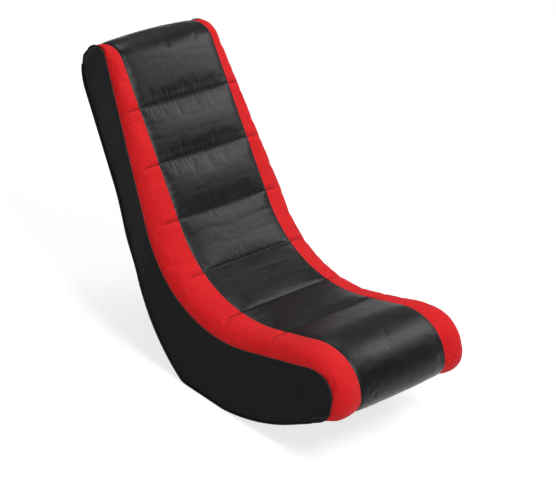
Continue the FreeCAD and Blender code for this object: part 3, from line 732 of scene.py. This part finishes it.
class CHAIR_OT_rear_panels(bpy.types.Operator):
    """Rear and underside panels, whose thick folded edges stand proud of the sides"""
    bl_idname = "chair.rear_panels"
    bl_label = "Rear and Underside"

    def execute(self, context):
        colours = context.scene.chair_colours
        leather = faux_leather("rear_faux_leather", tuple(colours.side), 0.42, 0.13, 0.0,
                               0.14)
        ranges = (("underside_panel", COVER_FRONT, COVER_SEAM, "base_cover", 120),
                  ("rear_panel", COVER_SEAM + 0.4, COVER_TOP, "back_cover", 100))
        for name, begin, end, node, rows in ranges:
            def place(across, along, begin=begin, end=end):
                station = end - (end - begin) * along
                y, z = SIDE.at(station)
                v = across * 2.0 - 1.0
                rim = np.minimum(station - COVER_FRONT, COVER_TOP - station)
                corner = 7.0 - np.sqrt(np.clip(49.0 - np.clip(7.0 - rim, 0.0, 7.0) ** 2, 0, None))
                x = v * (half_width(y) + PROUD - corner)
                side = (1.0 - np.abs(v)) * WIDEST
                quiet = np.minimum(1.0, np.minimum(side, rim) / 25.0)
                dent = 0.5 + 0.5 * waves(x * 0.8 + station, 31, (70.0, 110.0, 170.0))
                lie = np.where(z > 30.0, 1.0, np.clip(z / 30.0, 0, 1)) * quiet * dent
                fold = bell(side - 6.5, 2.2) * 0.6
                # the top edge turns in to the frame
                curl = 1.0 - np.clip((COVER_TOP - station) / 9.0, 0.0, 1.0)
                stand = rear_swell(station) * np.sqrt(1.0 - curl * curl)
                y, z = SIDE.at(station, lie + fold - stand)
                return x, y, np.maximum(z, 0.0)

            def spread(across, along, begin=begin, end=end):
                return end - (end - begin) * along, (across - 0.5) * 2 * WIDEST

            piece = cloth_grid(name, 90, rows, place, spread)
            modify(piece, "SOLIDIFY", thickness=0.0042, offset=-1.0)
            modify(piece, "BEVEL", width=0.0014, segments=3, limit_method="ANGLE",
                   angle_limit=math.radians(50))
            finish_piece(piece, leather, [node])
        return {"FINISHED"}


class CHAIR_OT_seam_welts(bpy.types.Operator):
    """Thin welts sewn into the seams beside the mesh"""
    bl_idname = "chair.seam_welts"
    bl_label = "Seam Welts"

    def execute(self, context):
        welt = thread_finish()
        thick = 0.85
        for word, sign in (("left", -1), ("right", 1)):
            for kind in ("inner", "outer"):
                def place(across, along, sign=sign, kind=kind):
                    station = PAD.length * (1.0 - along)
                    drop = np.interp(station, DROP_AT, DROP)
                    turn = across * 2 * math.pi * -1
                    if kind == "inner":
                        x0, down = PANEL_HALF + 0.15, 0.35 - nose_swell(station)
                    else:
                        x0, down = half_width(PAD.at(station, drop)[0]) - 0.2, drop + 0.1
                    y, z = PAD.at(station, down - thick * np.sin(turn))
                    return sign * x0 + thick * np.cos(turn), y, z

                def spread(across, along):
                    return PAD.length * (1.0 - along), across * 6.0

                piece = cloth_grid("welt_%s_%s" % (kind, word), 8, 420, place, spread)
                only(piece)
                bpy.ops.object.mode_set(mode="EDIT")
                bpy.ops.mesh.select_all(action="SELECT")
                bpy.ops.mesh.remove_doubles(threshold=0.00002)
                bpy.ops.mesh.select_all(action="DESELECT")
                bpy.ops.mesh.select_non_manifold()
                bpy.ops.mesh.edge_face_add()
                bpy.ops.mesh.select_all(action="SELECT")
                bpy.ops.mesh.normals_make_consistent(inside=False)
                bpy.ops.object.mode_set(mode="OBJECT")
                finish_piece(piece, welt, [])
        return {"FINISHED"}


class CHAIR_OT_inner_finishes(bpy.types.Operator):
    """Finishes of the foam, wadding, wood, board and screws inside the covers"""
    bl_idname = "chair.inner_finishes"
    bl_label = "Inner Finishes"

    def execute(self, context):
        finishes = {
            "foam": foam_finish(),
            "wadding": wadding_finish(),
            "fibre_board": board_finish(),
            "screw_steel": steel_finish(),
            "plywood": wood_finish("birch_plywood", (0.62, 0.45, 0.28), (0.42, 0.28, 0.16), True),
            "pine": wood_finish("sawn_pine", (0.68, 0.50, 0.30), (0.50, 0.33, 0.17), False),
        }
        slots = {entry["node"]: entry["material_slot"] for entry in frame["record"]["subparts"]}
        for name, node in frame["nodes"].items():
            if slots[name] in finishes:
                node.data.materials.clear()
                node.data.materials.append(finishes[slots[name]])
        return {"FINISHED"}


def lamp(name, size, power, place, aim):
    """A soft square lamp at a place, turned to its aim."""
    bpy.ops.object.light_add(type="AREA", location=place)
    made = bpy.context.active_object
    made.name = name
    made.data.size = size
    made.data.energy = power
    made.rotation_euler = (Vector(aim) - Vector(place)).to_track_quat("-Z", "Y").to_euler()
    return made


def seen_directly(finish):
    """1 for what the camera, a gloss or clear glass sees."""
    path = finish.node("ShaderNodeLightPath")
    seen = finish.value(path, "Is Camera Ray")
    for other in ("Is Glossy Ray", "Is Transmission Ray"):
        seen = seen.most(finish.value(path, other))
    return seen


CAMERA_PLACE = (-3.780, -2.6175, 2.695)
CAMERA_HIGH, CAMERA_TURNED, CAMERA_ROLL = 27.78, -54.83, 13.4
CAMERA_LENS = 168.35


class CHAIR_OT_stage(bpy.types.Operator):
    """Pale floor, soft lamps and the camera"""
    bl_idname = "chair.stage"
    bl_label = "Stage"

    def execute(self, context):
        colours = context.scene.chair_colours
        bpy.ops.object.select_all(action="DESELECT")
        bpy.ops.mesh.primitive_plane_add(size=14.0, location=(0.0, 0.0, -0.0006))
        floor = context.active_object
        floor.name = "floor"
        finish = Finish("pale_floor", Roughness=1.0, Specular_IOR_Level=0.0)
        finish.shader.inputs["Base Color"].default_value = (*colours.floor, 1.0)
        glow = finish.node("ShaderNodeEmission", Strength=1.16)
        mix = finish.node("ShaderNodeMixShader")
        finish.tree.links.new((seen_directly(finish) * 0.66).socket, mix.inputs[0])
        finish.tree.links.new(finish.shader.outputs[0], mix.inputs[1])
        finish.tree.links.new(glow.outputs[0], mix.inputs[2])
        finish.tree.links.new(mix.outputs[0], finish.tree.nodes["Material Output"].inputs[0])
        floor.data.materials.append(finish.material)

        world = bpy.data.worlds.new("studio")
        context.scene.world = world
        world.use_nodes = True
        tree = world.node_tree
        light = tree.nodes["Background"]
        light.inputs[0].default_value = (1.0, 1.0, 1.0, 1.0)
        path = tree.nodes.new("ShaderNodeLightPath")
        seen = Value(tree, path.outputs["Is Camera Ray"]).most(
            Value(tree, path.outputs["Is Transmission Ray"]))
        strength = 0.26 + seen * 0.74
        tree.links.new(strength.socket, light.inputs[1])

        lamps = [lamp("key", 1.1, 74.0, (-0.5, -1.5, 2.7), (0, 0, 0.25)),
                 lamp("fill", 1.8, 13.0, (-2.6, -1.2, 2.0), (0, 0, 0.25)),
                 lamp("top", 1.2, 30.0, (0.6, 1.2, 2.7), (0, 0.1, 0.3)),
                 lamp("side", 0.9, 20.0, (1.9, -0.35, 1.7), (0, 0, 0.25))]

        bpy.ops.object.camera_add()
        camera = context.active_object
        camera.name = "photo_camera"
        high, turned, roll = (math.radians(angle)
                              for angle in (CAMERA_HIGH, CAMERA_TURNED, CAMERA_ROLL))
        back = Vector((math.sin(turned) * math.cos(high), -math.cos(turned) * math.cos(high),
                       math.sin(high)))
        right = Vector((math.cos(turned), math.sin(turned), 0.0))
        up = back.cross(right)
        level = right * math.cos(roll) + up * math.sin(roll)
        upright = up * math.cos(roll) - right * math.sin(roll)
        turn = Matrix((level, upright, back)).transposed().to_4x4()
        camera.matrix_world = Matrix.Translation(CAMERA_PLACE) @ turn
        camera.data.sensor_width = 36.0
        camera.data.lens = CAMERA_LENS
        camera.data.clip_end = 50.0
        context.scene.camera = camera
        context.scene.view_settings.view_transform = "Standard"
        return {"FINISHED"}


STEPS = (CHAIR_OT_centre_panels, CHAIR_OT_mesh_strips, CHAIR_OT_side_panels,
         CHAIR_OT_rear_panels, CHAIR_OT_seam_welts, CHAIR_OT_inner_finishes, CHAIR_OT_stage)


class CHAIR_PT_panel(bpy.types.Panel):
    """Sizes, colours and steps of the chair's looks"""
    bl_label = "Rocker Chair"
    bl_idname = "CHAIR_PT_panel"
    bl_space_type = "VIEW_3D"
    bl_region_type = "UI"
    bl_category = "Chair"

    def draw(self, context):
        for group in (context.scene.chair_sizes, context.scene.chair_colours):
            for key in group.bl_rna.properties.keys():
                if key not in ("rna_type", "name"):
                    self.layout.prop(group, key)
        for step in STEPS:
            self.layout.operator(step.bl_idname)


CLASSES = (ChairSizes, ChairColours) + STEPS + (CHAIR_PT_panel,)


def register():
    for entry in CLASSES:
        bpy.utils.register_class(entry)
    bpy.types.Scene.chair_sizes = PointerProperty(type=ChairSizes)
    bpy.types.Scene.chair_colours = PointerProperty(type=ChairColours)


def unregister():
    del bpy.types.Scene.chair_colours
    del bpy.types.Scene.chair_sizes
    for entry in reversed(CLASSES):
        bpy.utils.unregister_class(entry)


def main():
    register()
    bpy.ops.chair.centre_panels()
    bpy.ops.chair.mesh_strips()
    bpy.ops.chair.side_panels()
    bpy.ops.chair.rear_panels()
    bpy.ops.chair.seam_welts()
    bpy.ops.chair.inner_finishes()
    bpy.ops.chair.stage()


if __name__ == "__main__":
    main()
